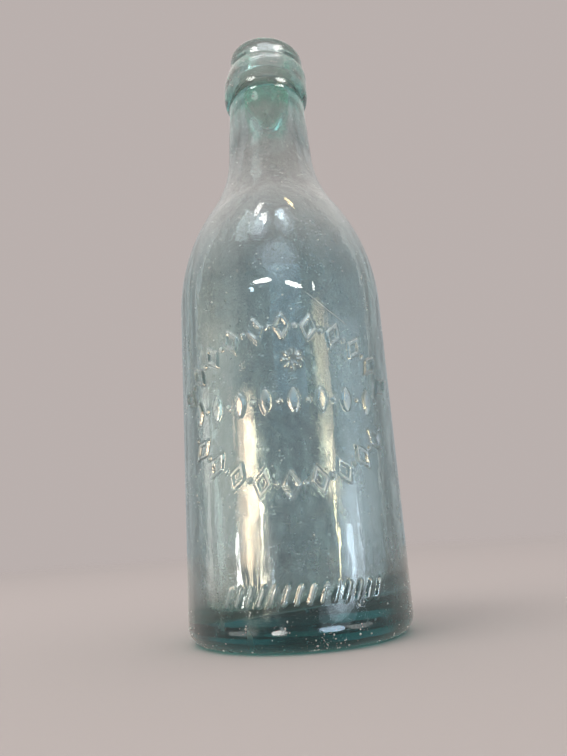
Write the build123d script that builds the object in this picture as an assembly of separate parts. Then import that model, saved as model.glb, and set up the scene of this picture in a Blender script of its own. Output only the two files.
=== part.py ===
from build123d import *
import math
import os

os.makedirs("parts", exist_ok=True)

# A soda bottle of thick aqua glass whose mouth is closed from inside by a glass marble.
# Millimetres. Z runs up the bottle's axis from the ring that it stands on, and -Y is the front.
# The marble is pushed up against a rubber ring in a channel of the bore. With no pinch in
# the neck, it drops down the whole bottle when the pressure is let out.

# Outside of the body
body_radius = 30.0
heel_round = 4.5              # between the underside and the side
body_height = 91.4            # top of the straight side
shoulder_radius = 58.4        # crowned part of the shoulder, tangent to the side
sweep_radius = 46.0           # hollow part, from the shoulder into the neck

# Underside
bearing_ring_radius = 19.0    # inner edge of the flat ring that the bottle stands on
push_up_height = 2.2          # shallow dome inside that ring

# Neck
neck_radius = 12.35           # at its top, under the collar
neck_length = 18.8            # straight tapered stretch
neck_taper = 2.84             # degrees on each side

# Collar and lip, tooled onto the neck
collar_radius = 13.9
collar_lower_radius = 6.5     # curve from the neck out to the widest point
collar_land = 2.6             # straight stretch at the widest point
collar_upper_radius = 17.0    # curve from there in to the lip
collar_shoulder_radius = 12.8  # where that curve ends, under the lip
collar_root_round = 0.9
lip_radius = 12.2             # at the lip's widest, near its top
lip_root_radius = 11.8        # in the groove between collar and lip
lip_groove_height = 0.4
lip_side_height = 4.1         # curved side, from the groove up to the widest
lip_round = 2.0
mouth_round = 1.8

# Inside of the glass
wall = 4.6
floor_thickness = 7.7         # on the axis, over the ring that the bottle stands on
floor_tilt = 7.4              # degrees, from the way the hot glass settled
floor_heading = -23.0         # degrees from +X, the side where the floor is thickest
floor_corner_round = 5.0

# Marble, bore and rubber ring
marble_radius = 6.9
marble_clearance = 0.3        # between the marble and the bore
bore_depth = 29.0             # parallel bore, down from the lip
ring_depth = 10.7             # from the lip's top down to the ring
ring_height = 3.0
ring_inner_radius = 5.2
ring_outer_round = 0.6
channel_depth = 1.7           # of the ring's channel, out from the bore
channel_clearance = 0.15      # round the ring and under it
seat_gap = 0.2                # between the marble and the ring
floor_gap = 0.3               # between the dropped marble and the floor

# Places that follow from the sizes
taper = math.radians(neck_taper)
sweep_end_radius = neck_radius + neck_length * math.tan(taper)
shoulder_centre = Vector(body_radius - shoulder_radius, body_height)
sweep_centre_x = sweep_end_radius + sweep_radius * math.cos(taper)
centre_distance = shoulder_radius + sweep_radius
centre_rise = math.sqrt(centre_distance**2 - (sweep_centre_x - shoulder_centre.X) ** 2)
sweep_centre = Vector(sweep_centre_x, body_height + centre_rise)
between_centres = (sweep_centre - shoulder_centre).normalized()
towards_neck = Vector(-math.cos(taper), -math.sin(taper))
neck_top = sweep_centre.Y - sweep_radius * math.sin(taper) + neck_length


def rise_on_arc(widest, arc_radius, reached):
    """Height from the widest point of a vertical arc to where it reaches a smaller radius."""
    return math.sqrt(arc_radius**2 - (reached - (widest - arc_radius)) ** 2)


collar_low = neck_top + rise_on_arc(collar_radius, collar_lower_radius, neck_radius)
collar_high = collar_low + collar_land
collar_top = collar_high + rise_on_arc(collar_radius, collar_upper_radius, collar_shoulder_radius)
lip_root = collar_top + lip_groove_height
lip_side_top = lip_root + lip_side_height
lip_swell = lip_radius - lip_root_radius
lip_side_radius = (lip_side_height**2 + lip_swell**2) / (2 * lip_swell)
height = lip_side_top + lip_round

bore_radius = marble_radius + marble_clearance
channel_radius = bore_radius + channel_depth
ring_top = height - ring_depth
ring_bottom = ring_top - ring_height
ring_nose = ring_height / 2
ring_nose_radius = ring_inner_radius + ring_nose
seat_distance = marble_radius + ring_nose + seat_gap
seat_drop = math.sqrt(seat_distance**2 - ring_nose_radius**2)
marble_height = (ring_top + ring_bottom) / 2 - seat_drop
marble_low = floor_thickness + (marble_radius + floor_gap) / math.cos(math.radians(floor_tilt))


def flank(offset):
    """The shoulder, its sweep and the neck's start, drawn a distance inside the outline."""
    shoulder_arc = shoulder_radius - offset
    sweep_arc = sweep_radius + offset
    side = Vector(body_radius - offset, body_height)
    meeting = shoulder_centre + between_centres * shoulder_arc
    neck_start = sweep_centre + towards_neck * sweep_arc
    half_turn = between_centres.get_angle(Vector(1, 0)) / 2
    shoulder_middle = shoulder_centre + Vector(shoulder_arc, 0).rotate(Axis.Z, half_turn)
    sweep_middle = sweep_centre + ((meeting + neck_start) / 2 - sweep_centre).normalized() * sweep_arc
    ThreePointArc(side, shoulder_middle, meeting)
    ThreePointArc(meeting, sweep_middle, neck_start)
    return neck_start


def outer_form():
    """The bottle's outside as one solid of revolution."""
    dome_radius = (bearing_ring_radius**2 + push_up_height**2) / (2 * push_up_height)
    dome_middle = dome_radius * math.sin(math.asin(bearing_ring_radius / dome_radius) / 2)
    dome_centre_z = push_up_height - dome_radius
    dome_middle_z = dome_centre_z + math.sqrt(dome_radius**2 - dome_middle**2)
    lip_land = lip_radius - lip_round
    with BuildPart() as form:
        with BuildSketch(Plane.XZ) as section:
            with BuildLine():
                ThreePointArc((0, push_up_height), (dome_middle, dome_middle_z), (bearing_ring_radius, 0))
                Line((bearing_ring_radius, 0), (body_radius - heel_round, 0))
                CenterArc((body_radius - heel_round, heel_round), heel_round, -90, 90)
                Line((body_radius, heel_round), (body_radius, body_height))
                neck_start = flank(0)
                Line(neck_start, (neck_radius, neck_top))
                RadiusArc((neck_radius, neck_top), (collar_radius, collar_low), -collar_lower_radius)
                Line((collar_radius, collar_low), (collar_radius, collar_high))
                RadiusArc(
                    (collar_radius, collar_high),
                    (collar_shoulder_radius, collar_top),
                    -collar_upper_radius,
                )
                Line((collar_shoulder_radius, collar_top), (lip_root_radius, lip_root))
                RadiusArc((lip_root_radius, lip_root), (lip_radius, lip_side_top), -lip_side_radius)
                CenterArc((lip_land, lip_side_top), lip_round, 0, 90)
                Line((lip_land, height), (0, height))
                Line((0, height), (0, push_up_height))
            make_face()
            root = section.vertices().sort_by_distance((neck_radius, neck_top))[0]
            fillet(root, collar_root_round)
        revolve(axis=Axis.Z)
    return form.part


def inner_form():
    """The space inside: body, shoulder, neck, parallel bore, ring channel and mouth."""
    bore_bottom = height - bore_depth
    channel_bottom = ring_bottom - channel_clearance
    above_lip = height + mouth_round
    with BuildPart() as form:
        with BuildSketch(Plane.XZ) as section:
            with BuildLine():
                Line((0, 0), (body_radius - wall, 0))
                Line((body_radius - wall, 0), (body_radius - wall, body_height))
                neck_start = flank(wall)
                Polyline(
                    neck_start,
                    (bore_radius, bore_bottom),
                    (bore_radius, channel_bottom),
                    (channel_radius, channel_bottom),
                    (channel_radius, ring_top),
                    (bore_radius, ring_top),
                    (bore_radius, height - mouth_round),
                )
                CenterArc((bore_radius + mouth_round, height - mouth_round), mouth_round, 180, -90)
                Polyline((bore_radius + mouth_round, height), (bore_radius + mouth_round, above_lip), (0, above_lip))
                Line((0, above_lip), (0, 0))
            make_face()
            channel_middle = (channel_radius, (channel_bottom + ring_top) / 2)
            fillet(section.vertices().sort_by_distance(channel_middle)[:2], ring_outer_round)
        revolve(axis=Axis.Z)
        lean = Vector(math.sin(math.radians(floor_tilt)), 0, 0).rotate(Axis.Z, floor_heading)
        floor_plane = Plane(
            origin=(0, 0, floor_thickness),
            z_dir=Vector(-lean.X, -lean.Y, math.cos(math.radians(floor_tilt))),
        )
        split(bisect_by=floor_plane, keep=Keep.TOP)
        floor_edge = form.edges().sort_by(Axis.Z)[0]
        fillet(floor_edge, floor_corner_round)
    return form.part


def bottle_solid():
    return outer_form() - inner_form()


def ring_solid():
    """A rubber ring with a round nose inside and rounded outer corners."""
    ring_radius = channel_radius - channel_clearance
    with BuildPart() as ring:
        with BuildSketch(Plane.XZ) as section:
            with BuildLine():
                Line((ring_nose_radius, ring_bottom), (ring_radius, ring_bottom))
                Line((ring_radius, ring_bottom), (ring_radius, ring_top))
                Line((ring_radius, ring_top), (ring_nose_radius, ring_top))
                ThreePointArc(
                    (ring_nose_radius, ring_top),
                    (ring_inner_radius, (ring_top + ring_bottom) / 2),
                    (ring_nose_radius, ring_bottom),
                )
            make_face()
            corners = section.vertices().group_by(Axis.X)[-1]
            fillet(corners, ring_outer_round)
        revolve(axis=Axis.Z)
    return ring.part


def marble_solid():
    return Pos(0, 0, marble_height) * Sphere(marble_radius)


pieces = {
    "bottle": bottle_solid(),
    "seal_ring": ring_solid(),
    "marble": marble_solid(),
}
for name, piece in pieces.items():
    export_step(piece, f"parts/{name}.step")

room = inner_form() & (Pos(0, 0, height / 2) * Box(3 * body_radius, 3 * body_radius, height))
print(f"height {height:.2f}, body diameter {2 * body_radius:.2f}")
print(f"room to the brim {room.volume / 1000:.1f} ml")
print(f"marble centre at rest {marble_height:.2f}, lowest {marble_low:.2f}")
print(f"marble travel {marble_height - marble_low:.2f}")
print(f"ring from {ring_bottom:.2f} to {ring_top:.2f}, bore radius {bore_radius:.2f}")
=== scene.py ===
"""Looks of a marble stopper bottle: thick aqua glass, a gum rubber ring and a glass marble.

Laid out as an add-on and run as a script. Sizes are metres and Z runs up the bottle's axis.
The bottle stands on Z = 0 with its front towards -Y.
"""

import math

import bpy
import numpy as np
from bpy.props import FloatProperty, FloatVectorProperty, IntProperty, PointerProperty
from mathutils import Matrix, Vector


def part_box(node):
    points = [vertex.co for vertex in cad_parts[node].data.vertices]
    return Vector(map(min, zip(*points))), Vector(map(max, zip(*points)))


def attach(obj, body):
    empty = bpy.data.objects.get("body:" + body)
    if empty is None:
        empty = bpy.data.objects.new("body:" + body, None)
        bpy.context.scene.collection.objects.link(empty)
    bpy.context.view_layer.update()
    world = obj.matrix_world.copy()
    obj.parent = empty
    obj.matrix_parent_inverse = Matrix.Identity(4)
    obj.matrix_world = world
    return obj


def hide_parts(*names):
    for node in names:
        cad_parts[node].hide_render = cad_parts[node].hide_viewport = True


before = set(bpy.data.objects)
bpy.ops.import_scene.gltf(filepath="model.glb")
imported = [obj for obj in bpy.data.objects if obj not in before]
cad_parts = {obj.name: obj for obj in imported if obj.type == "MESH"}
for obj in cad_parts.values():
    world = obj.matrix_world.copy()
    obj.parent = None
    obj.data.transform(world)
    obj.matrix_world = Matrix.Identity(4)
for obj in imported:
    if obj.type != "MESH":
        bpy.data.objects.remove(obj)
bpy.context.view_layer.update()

bl_info = {
    "name": "Marble Stopper Bottle",
    "version": (1, 0, 0),
    "blender": (4, 5, 0),
    "location": "View3D > Sidebar > Bottle",
    "description": "Glass, rubber ring and marble of an old soda bottle, with its stage",
    "category": "Object",
}

BOTTLE_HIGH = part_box("bottle")[1]
RING_LOW, RING_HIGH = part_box("seal_ring")
MARBLE_LOW, MARBLE_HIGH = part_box("marble")
MARBLE_RADIUS = (MARBLE_HIGH[0] - MARBLE_LOW[0]) / 2
MM = 0.001

# Sizes of the outline, which are the frame's
HEEL = 4.5 * MM                 # round between underside and side
BODY_TOP = 91.4 * MM
CROWN = 58.4 * MM               # radius of the shoulder's crowned part
SWEEP = 46.0 * MM               # radius of its hollow part, up into the neck
NECK = 12.35 * MM               # radius at the neck's top
NECK_LENGTH = 18.8 * MM
TAPER = math.radians(2.84)
COLLAR = 13.9 * MM
COLLAR_LOWER = 6.5 * MM         # radius of the curve from the neck out to the collar
COLLAR_LAND = 2.6 * MM
COLLAR_UPPER = 17.0 * MM        # radius of the curve from the collar in to the lip
COLLAR_SHOULDER = 12.8 * MM
LIP = 12.2 * MM
LIP_ROOT = 11.8 * MM
GROOVE_HEIGHT = 0.4 * MM
LIP_SIDE = 4.1 * MM
LIP_ROUND = 2.0 * MM
MOUTH_ROUND = 1.8 * MM
BORE_DEPTH = 29.0 * MM
PUSH_UP = 2.2 * MM              # height of the dome under the base
STANDING_RING = 19.0 * MM       # its inner radius

CHANNEL_CLEARANCE = 0.15 * MM   # round the ring and under it
ROOT_ROUND = 0.9 * MM           # where the neck runs into the collar
RING_SAG = 0.18 * MM            # how much lower the worn ring reaches than the solid
RING_PROUD = 0.02 * MM          # and how much higher
RING_INNER = 5.2 * MM           # its inner radius, at the tip of its nose
FLOOR_DROP = 0.1 * MM           # keeps the floor clear of the glass
RIB_SPACING = 2.9 * MM
RIB_LEAN = -0.35                # radians
ROSETTE = (2.2 * MM, 68.4 * MM)  # way round and height of its middle
PETAL_REACH = 1.75 * MM
RELIEF_SIDE = math.radians(62)  # how far round from the front the relief's fine mesh goes
PIT_DEPTH = -0.012              # of scuffs and scratches, in the bump's height

# Where the moulded and blown surface changes, as a start and an end
SEAM_EDGE = (0.1 * MM, 0.5 * MM)     # away from a mould seam's middle
SEAM_FOOT = (2 * MM, 6 * MM)         # up the heel, where the seams begin
SEAM_END = 9 * MM                    # their last stretch, under the neck's top
WAVER_FOOT = 8 * MM                  # height where the outside's waver is full
INNER_CALM = (26 * MM, 8 * MM)       # under the neck's top, where the inside's waver dies down
CALM_SHARE = 0.93                    # and by how much
FLOOR_LEAN = (10 * MM, 60 * MM)      # up the inside, where the floor's lean dies out
TOOLED_START = 0.5 * MM              # above the collar's land, where the lip's lean begins

# Heights between which a finish changes
HEEL_FADE = (5 * MM, 13 * MM)        # deep teal, darkened further as painted shade
COLLAR_RISE = (157.5 * MM, 160.5 * MM)  # pale teal
COLLAR_FADE = 3.5 * MM               # the stretch in which it ends again
GLASS_TEAL_TOP, MARBLE_TEAL_TOP = 168 * MM, 163.5 * MM
RIM_RISE = (156 * MM, 159 * MM)      # green outlines
STAIN_FADE = (76 * MM, 90 * MM)
HAZE_RISE = (93 * MM, 132 * MM)
RUBBED_MIDDLE = 162.5 * MM           # where hands wear the haze thin, and from there outwards
RUBBED_EDGE = (2 * MM, 6 * MM)
FILM_RISE = (16 * MM, 60 * MM)
FILM_HIGH = (105 * MM, 135 * MM)     # where the film turns brown
FILM_WARM_REFLECTION_LEFT = (-24 * MM, -6 * MM)      # the same across the bottle, for the painted warm reflection on the left
FILM_REACH = (11.5 * MM, 150 * MM)   # what the film covers
HAZE_REACH = (BODY_TOP + 1 * MM, math.inf)

# Where the random draws start
OUTER_DRAW, INNER_DRAW, BUBBLE_DRAW, DUST_DRAW, MARBLE_DRAW = 11, 5, 29, 41, 3

# Colours of the finishes: red, green and blue
CLEAR = (0.97, 0.99, 0.985)
COLLAR_TEAL = (0.66, 0.96, 0.90)
# the heel's deep teal is darkened further than the glass's depth colour, as painted shade
HEEL_TEAL_AND_SHADE = (0.01, 0.37, 0.33)
RIM_GREEN = (0.06, 0.86, 0.62)
GRIME = (0.45, 0.50, 0.46)
PANE = (0.55, 0.67, 0.65)
DUST_BROWN, DUST_PALE = (0.47, 0.41, 0.40), (0.86, 0.84, 0.82)
# the film's blue-grey is partly painted shade, and its brown on the left is a painted warm
# reflection
FILM_BLUE_AND_SHADE, FILM_BROWN_AND_REFLECTION = (0.185, 0.24, 0.325), (0.52, 0.38, 0.30)
SCALE = (0.82, 0.84, 0.88)
GRAIN_DARK, GRAIN_PALE = (0.55, 0.53, 0.48), (0.88, 0.87, 0.84)
SKY_LOW, SKY_HIGH = (0.68, 0.87, 1.0), (1.0, 0.93, 0.88)


def length_property(name, description, default, **limits):
    """A size in metres that a user can change."""
    return FloatProperty(
        name=name, description=description, default=default, unit="LENGTH", **limits)


def angle_property(name, description, degrees):
    """An angle that a user can change, with its default given in degrees."""
    return FloatProperty(
        name=name, description=description, default=math.radians(degrees), unit="ROTATION")


def colour_property(name, description, default):
    """A colour that a user can change."""
    return FloatVectorProperty(
        name=name, description=description, default=default, size=3, subtype="COLOR")


class BottleForm(bpy.types.PropertyGroup):
    """Sizes of the glass. Down to the marble's clearance they're the frame's."""

    body_radius: length_property(
        "Body radius", "Radius of the straight side", BOTTLE_HIGH[0], min=0.01)
    height: length_property("Height", "From the standing ring to the lip", BOTTLE_HIGH[2], min=0.05)
    wall: length_property("Wall", "Thickness of the side wall", 4.6 * MM, min=1 * MM)
    floor_thickness: length_property(
        "Floor thickness", "Height of the inner floor on the axis", 7.7 * MM)
    floor_tilt: angle_property("Floor tilt", "How far the inner floor leans", 7.4)
    floor_heading: angle_property("Floor heading", "Side where the floor is thickest, from +X", -23)
    marble_clearance: length_property(
        "Marble clearance", "Gap between the marble and the bore", 0.3 * MM)
    outer_waver: length_property("Outer waver", "How far the moulded outside wavers", 0.05 * MM)
    inner_waver: length_property("Inner waver", "How far the blown inside wavers", 0.28 * MM)
    lip_shift: length_property("Lip shift", "How far the tooled lip sits off the axis", 0.85 * MM)
    lip_lean: angle_property("Lip lean", "How far the tooled lip leans down to the right", 4.6)
    seam_height: length_property("Seam height", "Height of the two mould seams", 0.18 * MM)
    seeds: IntProperty(
        name="Seeds", description="Number of air bubbles in the glass", default=46, min=0)
    grains: IntProperty(
        name="Grains", description="Number of grains of dust on the glass", default=2400, min=0)


class ReliefForm(bpy.types.PropertyGroup):
    """Sizes of the plain ornament moulded on the front."""

    height: length_property("Relief height", "How far the ornament stands out", 0.55 * MM)
    stroke: length_property("Stroke", "Half the width of a raised line", 0.52 * MM)
    mark_height: length_property("Mark height", "Height of one lozenge or leaf", 6.0 * MM)
    mark_width: length_property("Mark width", "Width of one lozenge or leaf", 3.5 * MM)
    spacing: length_property("Spacing", "From one lozenge to the next along its row", 6.9 * MM)
    arch_radius: length_property("Arch radius", "Radius of the upper row", 39.1 * MM)
    arch_top: length_property("Arch top", "Height of the upper row's middle", 77.3 * MM)
    bowl_radius: length_property("Bowl radius", "Radius of the lower row", 33.3 * MM)
    bowl_bottom: length_property("Bowl bottom", "Height of the lower row's middle", 37.6 * MM)
    row_height: length_property("Row height", "Height of the straight row", 58.0 * MM)
    low_row: length_property("Low row", "Height of the ribs near the base", 12.8 * MM)


class GlassColours(bpy.types.PropertyGroup):
    """Colours of the glass and the rubber."""

    absorb: colour_property(
        "Glass depth colour", "What thick glass lets through", (0.25, 0.68, 0.75))
    density: FloatProperty(
        name="Glass density", description="How soon the depth colour shows", default=56.0)
    rubber: colour_property("Rubber", "Aged gum rubber", (0.90, 0.68, 0.67))


class StageForm(bpy.types.PropertyGroup):
    """Floor, surroundings and camera."""

    pale: colour_property(
        "Background", "Colour of the floor and of what lies behind", (0.49, 0.435, 0.42))
    floor_radius: length_property("Floor radius", "Radius of the floor", 1.6)
    lens: FloatProperty(
        name="Lens", description="Focal length for a 36 mm frame", default=29.1, unit="CAMERA")


def span(start, end, step):
    """Points from start to end, both kept, about a step apart."""
    start = np.asarray(start, float)
    end = np.asarray(end, float)
    count = max(2, int(math.ceil(np.linalg.norm(end - start) / step)) + 1)
    share = np.linspace(0.0, 1.0, count)[:, None]
    return start + (end - start) * share


def arc(centre, radius, start, end, step):
    """Points on a circle about centre, from one angle to another in degrees."""
    start = math.radians(start)
    end = math.radians(end)
    count = max(3, int(math.ceil(abs(end - start) * radius / step)) + 1)
    angle = np.linspace(start, end, count)
    return np.stack([centre[0] + radius * np.cos(angle), centre[1] + radius * np.sin(angle)], 1)


def once_round(count):
    """A row of angles from 0, evenly spread over one turn."""
    return np.linspace(0, 2 * math.pi, count, endpoint=False)[None, :]


def softened(start, corner, end, count):
    """A parabola from start to end that turns at corner, in place of a sharp corner."""
    share = np.linspace(0.0, 1.0, count)[:, None]
    start, corner, end = (np.asarray(p, float) for p in (start, corner, end))
    return (1 - share) ** 2 * start + 2 * share * (1 - share) * corner + share**2 * end


def joined(*stretches):
    """One profile out of stretches, without the points where two of them meet."""
    points = np.concatenate(stretches)
    gap = np.linalg.norm(np.diff(points, axis=0), axis=1)
    return points[np.concatenate([[True], gap > 1e-7])]


def smooth(low, high, value):
    """0 below low, 1 above high, and a smooth cubic step between."""
    share = np.clip((value - low) / (high - low), 0.0, 1.0)
    return share * share * (3 - 2 * share)


def faced(points, quads, triangles, inwards=False):
    """Turns a closed surface's faces so that they point out of it, or into it where inwards.

    The sum of each face's corner times the cross product of its other two is six volumes.
    """
    volume = 0.0
    for faces, corners in ((triangles, (0, 1, 2)), (quads, (0, 1, 2)), (quads, (0, 2, 3))):
        first, second, third = (points[faces[:, corner]] for corner in corners)
        volume += np.einsum("ij,ij->i", first, np.cross(second, third)).sum()
    if (volume < 0) != inwards:
        return points, quads[:, ::-1], triangles[:, ::-1]
    return points, quads, triangles


def mesh_object(name, parts, crest=None):
    """One object from several closed surfaces, each given as points, quads and triangles.

    Where crest is given, it's the share of the relief's height at each of the first points.
    """
    points, quads, triangles, shift = [], [], [], 0
    for part_points, part_quads, part_triangles in parts:
        points.append(part_points)
        quads.append(part_quads + shift)
        triangles.append(part_triangles + shift)
        shift += len(part_points)
    points = np.concatenate(points)
    quads = np.concatenate(quads)
    triangles = np.concatenate(triangles)
    mesh = bpy.data.meshes.new(name)
    mesh.from_pydata(points.tolist(), [], quads.tolist() + triangles.tolist())
    mesh.polygons.foreach_set("use_smooth", np.ones(len(mesh.polygons), bool))
    mesh.validate()
    if crest is not None:
        shares = np.zeros(len(points), np.float32)
        shares[:crest.size] = crest.ravel()
        mesh.attributes.new("crest", "FLOAT", "POINT").data.foreach_set("value", shares)
    piece = bpy.data.objects.new(name, mesh)
    bpy.context.scene.collection.objects.link(piece)
    return piece


def lathe(grid, closed_ends):
    """Faces for a grid of rows round the axis. The ends close on a pole, or meet each other."""
    rows, columns = grid.shape[:2]
    points = grid.reshape(-1, 3)
    row = np.arange(rows - 1 if closed_ends else rows)[:, None] * columns
    column = np.arange(columns)[None, :]
    beside = (column + 1) % columns
    above = (row + columns) % (rows * columns)
    quads = np.stack([row + column, row + beside, above + beside, above + column], -1)
    quads = quads.reshape(-1, 4)
    if not closed_ends:
        return points, quads, np.zeros((0, 3), int)
    poles = np.stack([grid[0].mean(0), grid[-1].mean(0)])
    points = np.concatenate([points, poles])
    ring = np.arange(columns)
    after = (ring + 1) % columns
    last = (rows - 1) * columns
    first_fan = np.stack([np.full(columns, rows * columns), after, ring], 1)
    last_fan = np.stack([np.full(columns, rows * columns + 1), last + ring, last + after], 1)
    return points, quads, np.concatenate([first_fan, last_fan])


def ball(centre, radii, rows, columns):
    """An ellipsoid: two angles, the sine and cosine of each, and three radii."""
    down = np.linspace(0, math.pi, rows + 2)[1:-1][:, None]
    turn = once_round(columns)
    flat = np.stack([
        np.sin(down) * np.cos(turn) * radii[0],
        np.sin(down) * np.sin(turn) * radii[1],
        np.cos(down) * radii[2] + 0 * turn,
    ], -1)
    points, quads, triangles = lathe(flat, True)
    points[-2] = (0, 0, radii[2])
    points[-1] = (0, 0, -radii[2])
    return points + np.asarray(centre), quads, triangles


class Profile:
    """The bottle's outline and the outline of its inside, as radius and height in metres.

    Its sizes are the frame's. The last number of each stretch is how far apart its points are.
    """

    def __init__(self, form):
        self.form = form
        self.bore = MARBLE_RADIUS + form.marble_clearance
        self.channel_bottom = RING_LOW[2] - CHANNEL_CLEARANCE
        self.channel = RING_HIGH[0] + CHANNEL_CLEARANCE
        end_radius = NECK + NECK_LENGTH * math.tan(TAPER)
        self.crown_centre = (form.body_radius - CROWN, BODY_TOP)
        across = end_radius + SWEEP * math.cos(TAPER) - self.crown_centre[0]
        rise = math.sqrt((CROWN + SWEEP) ** 2 - across**2)
        self.sweep_centre = (self.crown_centre[0] + across, BODY_TOP + rise)
        self.turn = math.degrees(math.atan2(rise, across))
        self.neck_top = self.sweep_centre[1] - SWEEP * math.sin(TAPER) + NECK_LENGTH
        self.collar_low = self.neck_top + self.reach(COLLAR, COLLAR_LOWER, NECK)
        self.collar_high = self.collar_low + COLLAR_LAND
        self.collar_top = self.collar_high + self.reach(
            COLLAR, COLLAR_UPPER, COLLAR_SHOULDER)

    @staticmethod
    def reach(widest, radius, reached):
        """Height on an arc from its widest point to a smaller radius."""
        return math.sqrt(radius**2 - (reached - widest + radius) ** 2)

    def flank(self, inset, step):
        """Shoulder and sweep, an inset inside the outline, from the side up to the neck."""
        taper = math.degrees(TAPER)
        return joined(
            arc(self.crown_centre, CROWN - inset, 0, self.turn, step),
            arc(self.sweep_centre, SWEEP + inset, 180 + self.turn, 180 + taper, step),
        )

    def outside(self, fine, relief):
        """From the middle of the underside to the lip's top, close-set where relief lies."""
        form = self.form
        radius = form.body_radius
        dome = (STANDING_RING**2 + PUSH_UP**2) / (2 * PUSH_UP)
        half = math.degrees(math.asin(STANDING_RING / dome))
        low_from, low_to, relief_from, relief_to = relief
        flank = self.flank(0, 2.2 * MM)
        root = (NECK, self.neck_top)
        lower_start = -math.degrees(math.asin((self.collar_low - self.neck_top) / COLLAR_LOWER))
        lower = arc((COLLAR - COLLAR_LOWER, self.collar_low), COLLAR_LOWER,
                    lower_start, 0, 0.45 * MM)
        upper_end = math.degrees(math.asin((self.collar_top - self.collar_high) / COLLAR_UPPER))
        upper = arc((COLLAR - COLLAR_UPPER, self.collar_high), COLLAR_UPPER,
                    0, upper_end, 0.7 * MM)
        before_root = (NECK + ROOT_ROUND * math.tan(TAPER), self.neck_top - ROOT_ROUND)
        swell = LIP - LIP_ROOT
        side_radius = (LIP_SIDE**2 + swell**2) / (2 * swell)
        lip_side_top = form.height - LIP_ROUND
        side_start = -math.degrees(math.asin(LIP_SIDE / side_radius))
        side = arc((LIP - side_radius, lip_side_top), side_radius, side_start, 0, 0.5 * MM)
        groove_middle = (LIP_ROOT - 0.1 * MM, self.collar_top + GROOVE_HEIGHT / 2)
        groove = softened(upper[-2], groove_middle, side[1], 9)
        return joined(
            arc((0, PUSH_UP - dome), dome, 90, 90 - half, 2.4 * MM)[1:],
            span((STANDING_RING, 0), (radius - HEEL, 0), 2.2 * MM),
            arc((radius - HEEL, HEEL), HEEL, -90, 0, 0.7 * MM),
            span((radius, HEEL), (radius, low_from), 1.5 * MM),
            span((radius, low_from), (radius, low_to), fine),
            span((radius, low_to), (radius, relief_from), 2.4 * MM),
            span((radius, relief_from), (radius, relief_to), fine),
            span((radius, relief_to), (radius, BODY_TOP), 2.0 * MM),
            flank,
            span(flank[-1], before_root, 2.0 * MM),
            softened(before_root, root, lower[2], 7),
            lower[2:],
            span(lower[-1], upper[0], 0.9 * MM),
            upper[:-2],
            groove,
            side[1:],
            arc((LIP - LIP_ROUND, lip_side_top), LIP_ROUND, 0, 90, 0.35 * MM),
        )

    def inside(self, foot):
        """From the mouth's rounding down bore and wall, and over the floor to the radius foot."""
        form = self.form
        top = form.height
        edge = 0.25 * MM
        corner = 0.6 * MM
        bore_bottom = top - BORE_DEPTH
        inner = form.body_radius - form.wall
        floor, floor_round = form.floor_thickness, 5.0 * MM
        flank = self.flank(form.wall, 2.4 * MM)[::-1]
        roof, sill = RING_HIGH[2], self.channel_bottom
        before = np.array((self.bore, bore_bottom + 4 * MM))
        after = np.array((self.bore, bore_bottom)) + 0.4 * (flank[0] - (self.bore, bore_bottom))
        return joined(
            arc((self.bore + MOUTH_ROUND, top - MOUTH_ROUND), MOUTH_ROUND, 90, 180, 0.35 * MM),
            span((self.bore, top - MOUTH_ROUND), (self.bore, roof + edge), 1.6 * MM),
            arc((self.bore + edge, roof + edge), edge, 180, 270, 0.15 * MM),
            arc((self.channel - corner, roof - corner), corner, 90, 0, 0.3 * MM),
            arc((self.channel - corner, sill + corner), corner, 0, -90, 0.3 * MM),
            arc((self.bore + edge, sill - edge), edge, 90, 180, 0.15 * MM),
            span((self.bore, sill - edge), before, 2.0 * MM),
            softened(before, (self.bore, bore_bottom), after, 7),
            span(after, flank[0], 1.6 * MM),
            flank,
            span((inner, BODY_TOP), (inner, floor + floor_round), 3.0 * MM),
            arc((inner - floor_round, floor + floor_round), floor_round, 0, -90, 0.9 * MM),
            span((inner - floor_round, floor), (foot, floor), 3.0 * MM),
        )


def normals_of(profile):
    """Unit normals in the radius and height plane, to the right of the way the profile runs."""
    along = np.gradient(profile, axis=0)
    along /= np.linalg.norm(along, axis=1)[:, None]
    return np.stack([along[:, 1], -along[:, 0]], 1)


def capsule(across, up, half_length):
    """Distance from a short upright line."""
    return np.hypot(across, np.maximum(np.abs(up) - half_length, 0.0))


def lozenge(across, up, width, height):
    """Distance from the outline of a lozenge, along the shortest way."""
    a, b = width / 2, height / 2
    return np.abs((np.abs(across) / a + np.abs(up) / b - 1.0) * a * b / math.hypot(a, b))


def leaf(across, up, width, height):
    """Distance outside a pointed oval made by two arcs, and 0 on it."""
    half = width / 2
    bend = (height**2 / 4 + half**2) / (2 * half)
    return np.maximum(np.hypot(np.abs(across) + bend - half, up) - bend, 0.0)


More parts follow.
